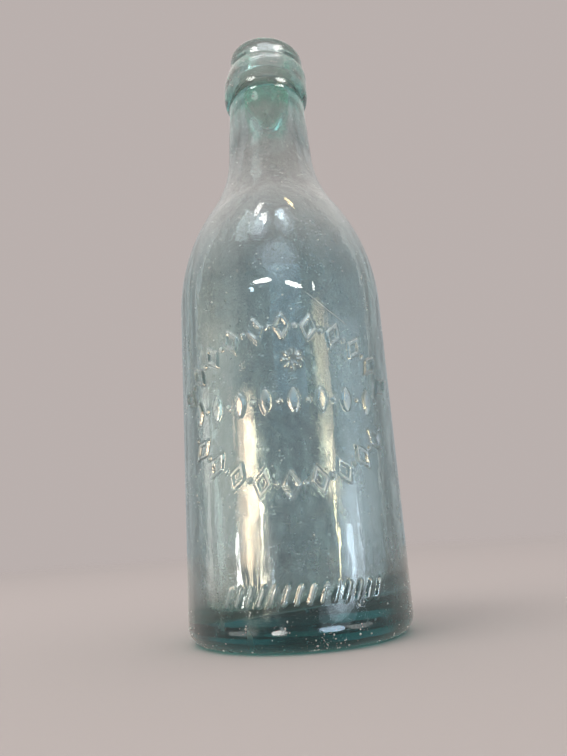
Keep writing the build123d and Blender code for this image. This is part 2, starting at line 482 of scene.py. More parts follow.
class Relief:
    """The ornament's height over the front, as a function of the way round and the height."""

    def __init__(self, form, radius):
        self.form = form
        self.radius = radius
        self.marks = []
        self.place_marks()

    def bent_row(self, numbers, radius, middle, way):
        """Lozenges with beads between them along a circle, over its top (way 1) or bottom (-1)."""
        for number in numbers:
            angle = number * self.form.spacing / radius
            centre = (radius * math.sin(angle), middle + way * radius * math.cos(angle))
            kind = "lozenge" if number == round(number) else "bead"
            self.marks.append((kind, centre, -way * angle))

    def place_marks(self):
        """Works out each mark's kind, middle and lean: arch, bowl, middle row, ribs, rosette."""
        form = self.form
        arch, bowl = form.arch_radius, form.bowl_radius
        self.bent_row(np.arange(-5, 5.5, 0.5), arch, form.arch_top - arch, 1)
        self.bent_row(np.arange(-4.5, 5, 0.5), bowl, form.bowl_bottom + bowl, -1)
        for number in np.arange(-4, 4, 0.5):
            kind = "leaf" if number == round(number) else "bead"
            self.marks.append((kind, (number * form.spacing + 2 * MM, form.row_height), 0.0))
        for number in range(-6, 8):
            self.marks.append(("rib", (number * RIB_SPACING, form.low_row), RIB_LEAN))
        for petal in range(8):
            angle = petal * math.pi / 4
            across = ROSETTE[0] + PETAL_REACH * math.sin(angle)
            up = ROSETTE[1] + PETAL_REACH * math.cos(angle)
            self.marks.append(("petal", (across, up), -angle))

    def height_at(self, azimuth, height):
        """The tallest mark at each point, each with a rounded back.

        A mark's height falls off with the distance from it, which is worked out from the
        distances across and up from its middle, in the mark's own leaning directions.
        """
        form = self.form
        round_way = azimuth * self.radius
        tallest = np.zeros(np.broadcast(round_way, height).shape)
        for kind, centre, angle in self.marks:
            right, over = round_way - centre[0], height - centre[1]
            across = right * math.cos(angle) + over * math.sin(angle)
            up = over * math.cos(angle) - right * math.sin(angle)
            if kind == "lozenge":
                away = lozenge(across, up, form.mark_width, form.mark_height)
            elif kind == "leaf":
                away = leaf(across, up, form.mark_width * 0.55, form.mark_height * 0.9)
            elif kind == "rib":
                away = capsule(across, up, 2.0 * MM)
            elif kind == "petal":
                away = capsule(across, up, 0.6 * MM)
            else:
                away = np.maximum(np.hypot(across, up) - 0.2 * MM, 0.0)
            rise = form.height * (1 - smooth(0.15 * form.stroke, 1.25 * form.stroke, away))
            tallest = np.maximum(tallest, rise)
        return tallest


def waver(azimuth, height, draw, size):
    """A sum of slow waves round and up the bottle, with fixed random phases."""
    random = np.random.default_rng(draw)
    total = 0.0
    for turns in (1, 2, 3, 4, 6, 9):
        for waves in (0.4, 1.1, 2.3):
            phase = random.uniform(0, 2 * math.pi, 2)
            share = random.normal() / (turns * (1 + 0.6 * waves)) ** 0.7
            total = total + share * np.cos(turns * azimuth + phase[0]) * np.cos(
                2 * math.pi * waves * height / (90 * MM) + phase[1])
    return size * total / 2.0


def azimuths(fine, half_width):
    """Angles round the bottle, close-set on the front and at the two mould seams."""
    front = np.arange(-half_width, half_width + fine / 2, fine)
    edge = math.degrees(half_width)
    rest = np.radians(np.arange(edge + 3, 360 - edge - 2, 4.2))
    seams = np.concatenate([side + np.radians([-1.4, -0.8, -0.4, 0, 0.4, 0.8, 1.4])
                            for side in (math.pi / 2, 1.5 * math.pi)])
    keep = np.min(np.abs(rest[:, None] - seams[None, :]), axis=1) > math.radians(1.6)
    return np.sort(np.concatenate([front, rest[keep], seams]))


class Skin:
    """The glass's surface: its profile carried round the axis, with relief, seams and waver."""

    def __init__(self, form, relief_form):
        self.form = form
        self.profile = Profile(form)
        self.relief = Relief(relief_form, form.body_radius)
        self.fine = 0.36 * MM  # from point to point on the relief
        low, reach = relief_form.low_row, 3.0 * MM
        zones = (low - reach, low + reach,
                 relief_form.bowl_bottom - 4 * MM, relief_form.arch_top + 4.2 * MM)
        self.outer_rows = self.profile.outside(self.fine, zones)
        self.inner_rows = self.profile.inside(foot=1.5 * MM)

    def on_side(self, radius):
        """1 on the straight side, and 0 where the radius is 1.5% smaller."""
        return smooth(self.form.body_radius * 0.985, self.form.body_radius, radius)

    def points(self, rows, normal, is_inside, angle):
        """Points for profile rows and angles: each row moves along its normal and then is turned.

        Outside, the push is relief, mould seams and a slight waver. Inside, it's the stronger
        waver of blown glass. The floor leans, and the tooled lip shifts and leans.
        """
        form, profile = self.form, self.profile
        radius, height = rows[:, :1], rows[:, 1:]
        outer = self.relief.height_at(angle, height) * self.on_side(radius)
        seam = np.minimum(np.abs(angle - math.pi / 2), np.abs(angle - 1.5 * math.pi)) * radius
        seam_rows = smooth(*SEAM_FOOT, height) * smooth(
            -profile.neck_top, SEAM_END - profile.neck_top, -height)
        outer = outer + form.seam_height * (1 - smooth(*SEAM_EDGE, seam)) * seam_rows
        waves = waver(angle, height, OUTER_DRAW, form.outer_waver)
        outer = outer + waves * smooth(0, WAVER_FOOT, height)
        calm_from, calm_to = (profile.neck_top - under for under in INNER_CALM)
        calm = 1 - CALM_SHARE * smooth(calm_from, calm_to, height)
        inner = waver(angle, height, INNER_DRAW, form.inner_waver) * calm
        push = np.where(is_inside[:, None], inner, outer)
        radial = radius + push * normal[:, :1]
        lifted = height + push * normal[:, 1:]
        low_inside = np.where(is_inside[:, None], 1 - smooth(*FLOOR_LEAN, height), 0.0)
        around = angle - math.pi / 2 - form.floor_heading
        lifted = lifted + math.tan(form.floor_tilt) * low_inside * radial * np.cos(around)
        tooled = smooth(profile.collar_high + TOOLED_START, profile.collar_top, lifted)
        across = radial * np.sin(angle)
        lifted = lifted - math.tan(form.lip_lean) * across * tooled
        return np.stack([across + form.lip_shift * tooled, -radial * np.cos(angle), lifted], -1)

    def whole(self):
        """The closed skin, from the middle of the underside round to the middle of the floor.

        With it goes the share of the relief's height at each point.
        """
        rows = joined(self.outer_rows, self.inner_rows)
        is_inside = np.arange(len(rows)) >= len(self.outer_rows)
        angle = azimuths(self.fine / self.form.body_radius, RELIEF_SIDE)[None, :]
        share = self.relief.height_at(angle, rows[:, 1:]) / self.relief.form.height
        share = share * self.on_side(rows[:, :1])
        crest = np.where(is_inside[:, None], 0.0, share)
        return self.points(rows, normals_of(rows), is_inside, angle), crest

    def film(self, is_inside):
        """A closed skin a few hundredths of a millimetre thick, just inside or outside the wall.

        Inside it covers the body and neck. Outside it covers shoulder, neck, collar and lip.
        """
        rows = self.inner_rows if is_inside else self.outer_rows
        normal = normals_of(rows)
        low, high = FILM_REACH if is_inside else HAZE_REACH
        kept = (rows[:, 1] > low) & (rows[:, 1] < high) & (rows[:, 0] > 5 * MM)
        angle = once_round(120)
        skin = self.points(rows, normal, np.full(len(rows), is_inside), angle)[kept]
        flat = normal[kept][:, None, :]
        way = np.stack([flat[..., 0] * np.sin(angle), -flat[..., 0] * np.cos(angle),
                        flat[..., 1] + 0 * angle], -1)
        return np.concatenate([skin + way * 0.03 * MM, (skin + way * 0.06 * MM)[::-1]])

    def outside_at(self, azimuth, height):
        """Points on the outside at given angles and heights."""
        rows = self.outer_rows[self.outer_rows[:, 0] > self.form.body_radius - HEEL]
        rows = np.concatenate([rows, self.outer_rows[self.outer_rows[:, 1] > BODY_TOP]])
        rows = rows[np.argsort(rows[:, 1], kind="stable")]
        spots = np.stack([np.interp(height, rows[:, 1], rows[:, 0]), height], 1)
        flat = np.zeros((len(spots), 2))
        flat[:, 0] = 1.0
        grid = self.points(spots, flat, np.zeros(len(spots), bool), azimuth[:, None])
        return grid[:, 0]


def seed_bubbles(form):
    """Air bubbles in the wall, drawn out along the bottle as the glass was blown."""
    random = np.random.default_rng(BUBBLE_DRAW)
    bubbles = []
    for _ in range(form.seeds):
        height = random.uniform(12 * MM, 165 * MM)
        turn = random.uniform(0, 2 * math.pi)
        size = 0.10 * MM + 0.22 * MM * random.random() ** 3
        # the outline's radius there, from a few heights and radii in mm
        outer = np.interp(height, np.array([0, 91, 103, 116, 129, 142, 170]) * MM,
                          np.array([30, 30, 28.8, 24.4, 17.3, 13.4, 12.2]) * MM)
        middle = outer - form.wall * random.uniform(0.35, 0.6)
        centre = (middle * math.cos(turn), middle * math.sin(turn), height)
        stretch = random.uniform(1.0, 3.0)
        bubbles.append(faced(*ball(centre, (size, size, size * stretch), 5, 8), inwards=True))
    return bubbles


def add(tree, kind, inputs=None, **settings):
    """Adds a shader node with its settings, and sets each input or links it to a socket."""
    node = tree.nodes.new("ShaderNode" + kind)
    for name, value in settings.items():
        setattr(node, name, value)
    for name, value in (inputs or {}).items():
        if isinstance(value, bpy.types.NodeSocket):
            tree.links.new(value, node.inputs[name])
        else:
            node.inputs[name].default_value = value
    return node


def maths(tree, operation, first, second=0.0):
    """A Math node's result for sockets or numbers."""
    return add(tree, "Math", {0: first, 1: second}, operation=operation).outputs[0]


def times(tree, first, *others):
    """The product of sockets or numbers."""
    for other in others:
        first = maths(tree, "MULTIPLY", first, other)
    return first


def plus(tree, first, *others):
    """The sum of sockets or numbers."""
    for other in others:
        first = maths(tree, "ADD", first, other)
    return first


def ramp(tree, value, low, high, start=0.0, end=1.0, soft=False):
    """Runs from start to end as value runs from low to high, straight or as a soft step."""
    return add(tree, "MapRange", {
        "Value": value, "From Min": low, "From Max": high, "To Min": start, "To Max": end},
        interpolation_type="SMOOTHSTEP" if soft else "LINEAR").outputs["Result"]


def mixed(tree, factor, first, second):
    """A colour between two, each a socket or red, green and blue."""
    ends = [end if isinstance(end, bpy.types.NodeSocket) else (*end, 1) for end in (first, second)]
    mix = add(tree, "Mix", {"Factor": factor, "A": ends[0], "B": ends[1]}, data_type="RGBA")
    return mix.outputs["Result"]


def axes(tree, coordinates="Object"):
    """X, Y and Z of the place on the piece, or with Generated, of a direction in the world."""
    place = add(tree, "TexCoord").outputs[coordinates]
    return add(tree, "SeparateXYZ", {"Vector": place}).outputs


def noise(tree, scale, detail, low, high, stretch=(1, 1, 1), turn=(0, 0, 0)):
    """Noise on Object coordinates, stretched and cut to run from 0 at low to 1 at high."""
    place = add(tree, "TexCoord").outputs["Object"]
    mapped = add(tree, "Mapping", {"Vector": place, "Scale": stretch, "Rotation": turn})
    cloud = add(tree, "TexNoise", {
        "Vector": mapped.outputs["Vector"], "Scale": scale, "Detail": detail})
    return ramp(tree, cloud.outputs["Fac"], low, high)


def new_material(name):
    """An empty material and its node tree."""
    material = bpy.data.materials.new(name)
    material.use_nodes = True
    material.node_tree.nodes.clear()
    return material, material.node_tree


def surfaced(tree, inputs):
    """Ends a material in a Principled BSDF with the given inputs."""
    add(tree, "OutputMaterial", {"Surface": add(tree, "BsdfPrincipled", inputs).outputs[0]})


def wear_group():
    """Shared wear: roughness, the height of waver and pits, and a mask of grime.

    Scuffs are fine noise seen only inside patches of coarse noise. Scratches are noise drawn
    out along one slanting line. Stains are noise drawn out up the bottle, and fade over the
    shoulder. Waver is noise drawn out up the bottle with ripples and dimples in it. Crest is
    the relief's share of its height: its tops are rubbed dull, and its sides hold grime.
    """
    known = bpy.data.node_groups.get("glass_wear")
    if known:
        return known
    group = bpy.data.node_groups.new("glass_wear", "ShaderNodeTree")
    for way, labels in (("INPUT", ("Base", "Scuff", "Scratch", "Waver", "Stain", "Crest")),
                        ("OUTPUT", ("Roughness", "Height", "Grime"))):
        for label in labels:
            group.interface.new_socket(label, in_out=way, socket_type="NodeSocketFloat")
    given = group.nodes.new("NodeGroupInput").outputs
    result = group.nodes.new("NodeGroupOutput").inputs
    fine = noise(group, 1500.0, 2.0, 0.58, 0.72)
    patch = noise(group, 70.0, 4.0, 0.46, 0.70)
    scuff = times(group, fine, patch, given["Scuff"])
    scratch = noise(group, 1.0, 1.0, 0.76, 0.79, stretch=(90, 1400, 1400), turn=(0.5, 0.9, 0.2))
    scratch = times(group, scratch, given["Scratch"])
    marked = plus(group, scuff, scratch)
    rubbed = times(group, given["Crest"], noise(group, 260.0, 3.0, 0.35, 0.6), 0.4)
    stain = noise(group, 1.0, 6.0, 0.46, 0.72, stretch=(300, 300, 110))
    below_shoulder = ramp(group, axes(group)["Z"], *STAIN_FADE, 1.0, 0.12)
    stained = plus(group, given["Base"], times(group, stain, below_shoulder, given["Stain"]))
    group.links.new(plus(group, marked, rubbed, stained), result["Roughness"])
    slow = noise(group, 1.0, 2.0, 0.0, 1.0, stretch=(280, 280, 40))
    ripple = noise(group, 1.0, 2.0, 0.0, 0.28, stretch=(900, 900, 90))
    dimple = noise(group, 1.0, 3.0, 0.0, 1.0, stretch=(240, 240, 140))
    waves = plus(group, slow, times(group, ripple, 0.09), dimple)
    waver_height = times(group, waves, given["Waver"])
    group.links.new(plus(group, waver_height, times(group, marked, PIT_DEPTH)), result["Height"])
    side = times(group, given["Crest"], maths(group, "SUBTRACT", 1.0, given["Crest"]))
    grime = times(group, side, noise(group, 120.0, 3.0, 0.3, 0.7), 4.0)
    group.links.new(grime, result["Grime"])
    return group


def glass_material(name, absorb, density, tint_top, wear):
    """Clear glass that takes its colour from its depth, with wear in roughness and bump.

    The heel is tinted deep teal and darkened further as painted shade, the collar pale teal up to
    tint_top, and the outlines of collar and lip green. The relief has a bright glaze. Rays on their
    way to a lamp pass the glass as through a tinted pane, so that its shadow is pale.
    """
    material, tree = new_material(name)
    crest = add(tree, "Attribute", attribute_name="crest").outputs["Fac"]
    wear = {**wear, "Stain": 0.3, "Crest": crest}
    worn = add(tree, "Group", wear, node_tree=wear_group()).outputs
    height = axes(tree)["Z"]
    # painted shade: the heel's tint darkens the bottom of the glass
    heel = ramp(tree, height, *HEEL_FADE, 1.0, 0.0, soft=True)
    collar = times(tree, ramp(tree, height, *COLLAR_RISE, soft=True),
                   ramp(tree, height, tint_top - COLLAR_FADE, tint_top, 1.0, 0.0, soft=True))
    tone = mixed(tree, heel, mixed(tree, collar, CLEAR, COLLAR_TEAL), HEEL_TEAL_AND_SHADE)
    outline = add(tree, "LayerWeight", {"Blend": 0.64}).outputs["Facing"]
    rim = times(tree, outline, ramp(tree, height, *RIM_RISE))
    tone = mixed(tree, worn["Grime"], mixed(tree, rim, tone, RIM_GREEN), GRIME)
    bump = add(tree, "Bump", {"Height": worn["Height"], "Distance": 1 * MM})
    glass = add(tree, "BsdfPrincipled", {
        "Base Color": tone, "Metallic": 0.0, "IOR": 1.51, "Transmission Weight": 0.975,
        "Roughness": worn["Roughness"], "Normal": bump.outputs["Normal"],
        "Sheen Weight": 0.4, "Sheen Roughness": 0.5, "Sheen Tint": (1, 0.93, 0.86, 1),
        "Coat Weight": times(tree, crest, 0.9), "Coat Roughness": 0.05, "Coat IOR": 2.0})
    pane = add(tree, "BsdfTransparent", {"Color": (*PANE, 1)})
    shadow = add(tree, "LightPath").outputs["Is Shadow Ray"]
    mix = add(tree, "MixShader", {0: shadow, 1: glass.outputs[0], 2: pane.outputs[0]})
    depth = add(tree, "VolumeAbsorption", {"Color": (*absorb, 1), "Density": density})
    add(tree, "OutputMaterial", {"Surface": mix.outputs[0], "Volume": depth.outputs[0]})
    return material


def rubber_material(colour):
    """Aged gum rubber: a little light passes, with mottled colour and a fine crazed surface."""
    material, tree = new_material("gum_rubber")
    mottle = noise(tree, 420.0, 5.0, 0.3, 0.7)
    tone = mixed(tree, mottle, [c * 0.78 for c in colour], [min(1.0, c * 1.15) for c in colour])
    place = add(tree, "TexCoord").outputs["Object"]
    craze = add(tree, "TexVoronoi", {"Vector": place, "Scale": 1500.0}, feature="DISTANCE_TO_EDGE")
    bump = add(tree, "Bump", {"Height": craze.outputs["Distance"], "Distance": 0.05 * MM})
    surfaced(tree, {
        "Base Color": tone, "Roughness": ramp(tree, mottle, 0, 1, 0.35, 0.6), "IOR": 1.5,
        "Transmission Weight": 0.4, "Normal": bump.outputs["Normal"]})
    return material


def haze_material():
    """Dust rubbed into the outside of shoulder, neck and lip: smears, a fine cloud and specks.

    It's thin round the collar's lower edge, which hands rub when the bottle is used.
    """
    material, tree = new_material("dry_haze")
    smears = noise(tree, 1.0, 6.0, 0.35, 0.75, stretch=(170, 170, 60), turn=(0.1, 0.2, 0.0))
    cloud = noise(tree, 620.0, 4.0, 0.42, 0.72)
    specks = noise(tree, 1300.0, 2.0, 0.67, 0.71)
    height = axes(tree)["Z"]
    rise = ramp(tree, height, *HAZE_RISE, soft=True)
    from_collar = maths(tree, "ABSOLUTE", maths(tree, "SUBTRACT", height, RUBBED_MIDDLE))
    unworn = ramp(tree, from_collar, *RUBBED_EDGE, 0.25, 1.0, soft=True)
    veil = plus(tree, times(tree, smears, 0.10), times(tree, cloud, 0.05), 0.09)
    veil = times(tree, veil, times(tree, rise, unworn))
    pale = maths(tree, "MAXIMUM", specks, times(tree, cloud, 0.4))
    surfaced(tree, {
        "Base Color": mixed(tree, pale, DUST_BROWN, DUST_PALE), "Specular IOR Level": 0.2,
        "Roughness": ramp(tree, smears, 0, 1, 0.8, 0.55),
        "Alpha": maths(tree, "MAXIMUM", veil, times(tree, specks, 0.45))})
    return material


def film_material():
    """The dry film inside the glass: upright streaks, mottling, blotches and specks of pale scale.

    It's thinner low down. Its dark blue-grey is partly the film's tone and partly painted shade.
    High up it turns brown, and on the left it turns brown as a painted warm reflection.
    """
    material, tree = new_material("dry_film")
    streaks = noise(tree, 1.0, 5.0, 0.40, 0.68, stretch=(420, 420, 30))
    blotches = noise(tree, 48.0, 6.0, 0.34, 0.70)
    mottle = noise(tree, 1.0, 7.0, 0.47, 0.66, stretch=(430, 430, 210))
    specks = noise(tree, 1100.0, 2.0, 0.63, 0.68)
    marks = maths(
        tree, "MAXIMUM", times(tree, streaks, blotches, 0.5), times(tree, specks, blotches))
    marks = maths(tree, "MAXIMUM", marks, times(tree, mottle, 0.45, plus(tree, blotches, 0.25)))
    part = axes(tree)
    thick = ramp(tree, part["Z"], *FILM_RISE, 0.45, 1.0)
    # painted warm reflection: the film turns brown towards the left
    left = ramp(tree, part["X"], *FILM_WARM_REFLECTION_LEFT, 1.0, 0.0)
    high = ramp(tree, part["Z"], *FILM_HIGH)
    brown_and_reflection = times(tree, noise(tree, 22.0, 3.0, 0.3, 0.6), maths(tree, "MAXIMUM", left, high))
    # painted shade in the film's dark blue-grey, and a painted warm reflection in its brown on the
    # left
    surfaced(tree, {
        "Base Color": mixed(tree, marks, mixed(tree, brown_and_reflection, FILM_BLUE_AND_SHADE, FILM_BROWN_AND_REFLECTION), SCALE),
        "Roughness": ramp(tree, streaks, 0, 1, 0.75, 0.5),
        "Alpha": times(tree, plus(tree, marks, 0.13), thick)})
    return material


def dust_material():
    """Pale grains of dry dirt."""
    material, tree = new_material("pale_dust")
    surfaced(tree, {
        "Base Color": mixed(tree, noise(tree, 300.0, 2.0, 0.35, 0.65), GRAIN_DARK, GRAIN_PALE),
        "Roughness": noise(tree, 700.0, 1.0, -0.6, 1.2)})
    return material


def dress(piece, material):
    """Gives a piece one material."""
    piece.data.materials.clear()
    piece.data.materials.append(material)


class BOTTLE_OT_glass(bpy.types.Operator):
    """Makes the bottle's glass with its relief, seams and seeds"""

    bl_idname = "bottle.glass"
    bl_label = "Glass"

    def execute(self, context):
        form = context.scene.bottle_form
        skin = Skin(form, context.scene.relief_form)
        grid, crest = skin.whole()
        piece = mesh_object("bottle_glass", [faced(*lathe(grid, True))] + seed_bubbles(form), crest)
        colours = context.scene.glass_colours
        wear = {"Base": 0.035, "Scuff": 0.35, "Scratch": 0.3, "Waver": 0.09}
        dress(piece, glass_material(
            "aqua_glass", colours.absorb, colours.density, GLASS_TEAL_TOP, wear))
        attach(piece, "glass")
        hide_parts("bottle")
        return {"FINISHED"}


class BOTTLE_OT_film(bpy.types.Operator):
    """Makes the thin dry film inside the glass and the haze of dust outside it"""

    bl_idname = "bottle.film"
    bl_label = "Film and haze"

    def execute(self, context):
        skin = Skin(context.scene.bottle_form, context.scene.relief_form)
        for name, is_inside, material in (("dry_film", True, film_material()),
                                          ("dry_haze", False, haze_material())):
            piece = mesh_object(name, [faced(*lathe(skin.film(is_inside), False))])
            dress(piece, material)
            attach(piece, "glass")
        return {"FINISHED"}


class BOTTLE_OT_dust(bpy.types.Operator):
    """Strews grains of dust on the outside, thickest round the heel, with one dusty scratch"""

    bl_idname = "bottle.dust"
    bl_label = "Dust"

    def execute(self, context):
        form = context.scene.bottle_form
        skin = Skin(form, context.scene.relief_form)
        random = np.random.default_rng(DUST_DRAW)
        count = form.grains
        # heights in mm: at the heel, on the lower side, above it to the neck, and at the mouth
        band = random.random(count)
        at_heel = 0.4 + 7.0 * random.random(count) ** 1.7
        low = random.uniform(7.0, 45.0, count)
        high = random.uniform(45.0, 150.0, count)
        at_mouth = random.uniform(166.0, 183.0, count)
        height = MM * np.select(
            [band < 0.22, band < 0.55, band < 0.95], [at_heel, low, high], at_mouth)
        azimuth = random.uniform(-math.pi, math.pi, count)
        flock = random.integers(0, count // 12, count)
        gathered = random.random(count) < 0.6
        azimuth = np.where(gathered, azimuth[flock] + random.normal(0, 0.045, count), azimuth)
        height = np.where(gathered, height[flock] + random.normal(0, 1.3 * MM, count), height)
        size = (0.05 + 0.24 * random.random(count) ** 4) * MM * np.where(height < 8 * MM, 1.25, 1.0)
        height = np.clip(height, 0.3 * MM + 1.4 * size, 183 * MM)
        centre = skin.outside_at(azimuth, height)
        corners = np.repeat(np.eye(3), 2, axis=0) * np.array([[1], [-1]] * 3)
        shape = corners * random.uniform(0.6, 1.4, (count, 6, 1))
        points = (centre[:, None, :] + shape * size[:, None, None]).reshape(-1, 3)
        faces = np.array([(0, 2, 4), (2, 1, 4), (1, 3, 4), (3, 0, 4),
                          (2, 0, 5), (1, 2, 5), (3, 1, 5), (0, 3, 5)])
        triangles = (faces[None] + 6 * np.arange(count)[:, None, None]).reshape(-1, 3)
        grains = faced(points, np.zeros((0, 4), int), triangles)
        piece = mesh_object("dust_grains", [grains, faced(*self.scratch(skin))])
        dress(piece, dust_material())
        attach(piece, "glass")
        return {"FINISHED"}

    def scratch(self, skin):
        """One long scratch with dust in it: a thin slanting rod that tapers at its ends."""
        share = np.linspace(0.01, 0.99, 70)
        across = (6.5 + 11 * share) * MM
        height = (91.8 * MM - 0.8 * across + 0.12 * MM * np.sin(9 * share)
                  + 0.05 * MM * np.sin(31 * share))
        line = skin.outside_at(np.arcsin(across / skin.form.body_radius), height)
        thick = 0.11 * MM * np.sin(math.pi * share) ** 0.5 * (0.75 + 0.25 * np.sin(23 * share))
        round_way = once_round(6)
        outward = line * (1, 1, 0) / np.linalg.norm(line[:, :2], axis=1)[:, None]
        upward = np.array((0.0, 0.0, 1.0))
        rod = line[:, None] + thick[:, None, None] * (
            np.cos(round_way)[..., None] * outward[:, None] + np.sin(round_way)[..., None] * upward)
        return lathe(rod, True)


class BOTTLE_OT_ring(bpy.types.Operator):
    """Makes the rubber ring with its worn round nose"""

    bl_idname = "bottle.ring"
    bl_label = "Rubber ring"

    def execute(self, context):
        low, high = RING_LOW[2] - RING_SAG, RING_HIGH[2] + RING_PROUD
        outer = RING_HIGH[0]
        nose = (high - low) / 2
        inner_middle = RING_INNER + nose
        corner = 0.6 * MM
        section = joined(
            arc((inner_middle, (low + high) / 2), nose, 90, 270, 0.3 * MM),
            span((inner_middle, low), (outer - corner, low), 0.5 * MM),
            arc((outer - corner, low + corner), corner, -90, 0, 0.25 * MM),
            arc((outer - corner, high - corner), corner, 0, 90, 0.25 * MM),
            span((outer - corner, high), (inner_middle, high), 0.5 * MM),
        )[:-1]
        angle = once_round(160)
        inside = smooth(0.5 * MM, -0.8 * MM, section[:, :1] - inner_middle)
        wobble = 0.06 * MM * (np.sin(5 * angle + 1.1) + 0.6 * np.sin(11 * angle + 0.4)) * inside
        radius = section[:, :1] + wobble
        grid = np.stack([
            radius * np.cos(angle), radius * np.sin(angle), section[:, 1:] + 0 * angle], -1)
        piece = mesh_object("seal_ring_rubber", [faced(*lathe(grid, False))])
        dress(piece, rubber_material(context.scene.glass_colours.rubber))
        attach(piece, "glass")
        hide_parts("seal_ring")
        return {"FINISHED"}


class BOTTLE_OT_marble(bpy.types.Operator):
    """Makes the glass marble with a few seeds in it"""

    bl_idname = "bottle.marble"
    bl_label = "Marble"

    def execute(self, context):
        middle = np.array([(low + high) / 2 for low, high in zip(MARBLE_LOW, MARBLE_HIGH)])
        parts = [faced(*ball(middle, (MARBLE_RADIUS,) * 3, 60, 96))]
        random = np.random.default_rng(MARBLE_DRAW)
        for _ in range(9):
            way = random.normal(size=3)
            centre = middle + way / np.linalg.norm(way) * MARBLE_RADIUS * random.uniform(0.1, 0.8)
            size = random.uniform(0.08, 0.22) * MM
            parts.append(faced(*ball(centre, (size,) * 3, 5, 8), inwards=True))
        piece = mesh_object("marble_glass", parts)
        colours = context.scene.glass_colours
        wear = {"Base": 0.27, "Scuff": 0.3, "Scratch": 0.1, "Waver": 0.004}
        dress(piece, glass_material(
            "marble_glass", colours.absorb, colours.density * 0.2, MARBLE_TEAL_TOP, wear))
        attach(piece, "stopper")
        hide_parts("marble")
        return {"FINISHED"}


def away(azimuth, elevation):
    """The unit direction from the bottle, in degrees round from the front and up."""
    turn, rise = math.radians(azimuth), math.radians(elevation)
    flat = math.cos(rise)
    return np.array((math.sin(turn) * flat, -math.cos(turn) * flat, math.sin(rise)))


def soft_lamp(name, place, aim, size, strength, colour, lights=False, through=False, spread=180,
              lean=0, shape="RECTANGLE"):
    """A flat lamp whose face has a plain brightness, so its power follows from its area.

    The camera doesn't see it. Only one that lights also lights matt surfaces: the others are
    there for the glass to mirror, on its outer faces, or with through on its inner ones too.
    A narrow spread is brighter along its middle by tan(h) / (tan(h) - h), h being half of it,
    and that is taken off again. Lean turns the face about its own middle, in degrees.
    """
    data = bpy.data.lights.new(name, "AREA")
    data.shape = shape
    data.size, data.size_y = size
    half = math.radians(spread / 2)
    data.spread = 2 * half
    gain = math.tan(half) / (math.tan(half) - half) if spread < 180 else 1.0
    share = math.pi / 4 if shape == "ELLIPSE" else 1.0
    data.energy = strength * size[0] * size[1] * share * math.pi / gain
    data.color = colour
    lamp = bpy.data.objects.new(name, data)
    lamp.visible_camera = False
    lamp.visible_diffuse = lights
    lamp.visible_transmission = lights or through
    bpy.context.scene.collection.objects.link(lamp)
    ahead = np.asarray(aim, float) - place
    ahead /= np.linalg.norm(ahead)
    side = np.cross(ahead, (0, 0, 1))
    side /= np.linalg.norm(side)
    up = np.cross(side, ahead)
    turn = math.radians(lean)
    side, up = (side * math.cos(turn) + up * math.sin(turn),
                up * math.cos(turn) - side * math.sin(turn))
    rows = [(side[i], up[i], -ahead[i], place[i]) for i in range(3)]
    lamp.matrix_world = Matrix(rows + [(0, 0, 0, 1)])
    return lamp


CREAM, WHITE, COOL = (1, 0.88, 0.62), (1, 0.97, 0.93), (0.72, 0.88, 1)
CARD_DISTANCE = 130 * MM
CARD_STEPS = (1.25, 1.1, 0.95, 0.8)  # widths of the layers of a card, which give it soft sides
CARDS = (
    # name, azimuth, lowest and highest point in mm, width in degrees, brightness, colour
    ("left_wide", -70, 0, 120, 40, 1.1, (1, 0.82, 0.64)),
    ("right_wide", 66, 0, 120, 36, 1.2, (0.84, 0.93, 1)),
    ("left_glow", -40, 16, 84, 17, 8.6, (1, 0.70, 0.46)),
    ("left_bright", -37, 34, 74, 7, 17, (1, 0.80, 0.58)),
    ("right_glow", 37, 40, 124, 11, 5.5, (1, 0.82, 0.54)),
    ("right_bright", 36, 44, 66, 5, 12, CREAM),
    ("right_haze", 52, 0, 46, 20, 3.6, (0.78, 0.86, 1)),
    ("far_left", -86, 5, 90, 8, 2.5, WHITE),
)
STREAKS = (
    # the same for narrow streaks, which have one layer and hard sides
    ("left_foot", -29, 2, 40, 2.2, 30, (1, 0.92, 0.72)),
    ("left_core", -42, 0, 34, 5, 13, (1, 0.84, 0.60)),
    ("left_edge", -33.5, 2, 34, 0.9, 20, (1, 0.88, 0.62)),
    ("left_spark", -22.5, 5, 20, 1.8, 30, COOL),
    ("left_outer", -52, 2, 28, 2.4, 30, WHITE),
    ("right_thin", 37.5, 6, 50, 1.4, 34, (1, 0.86, 0.50)),
    ("right_foot", 50, 0, 30, 4, 11, COOL),
    ("right_outer", 60, 4, 60, 1.5, 6, COOL),
)
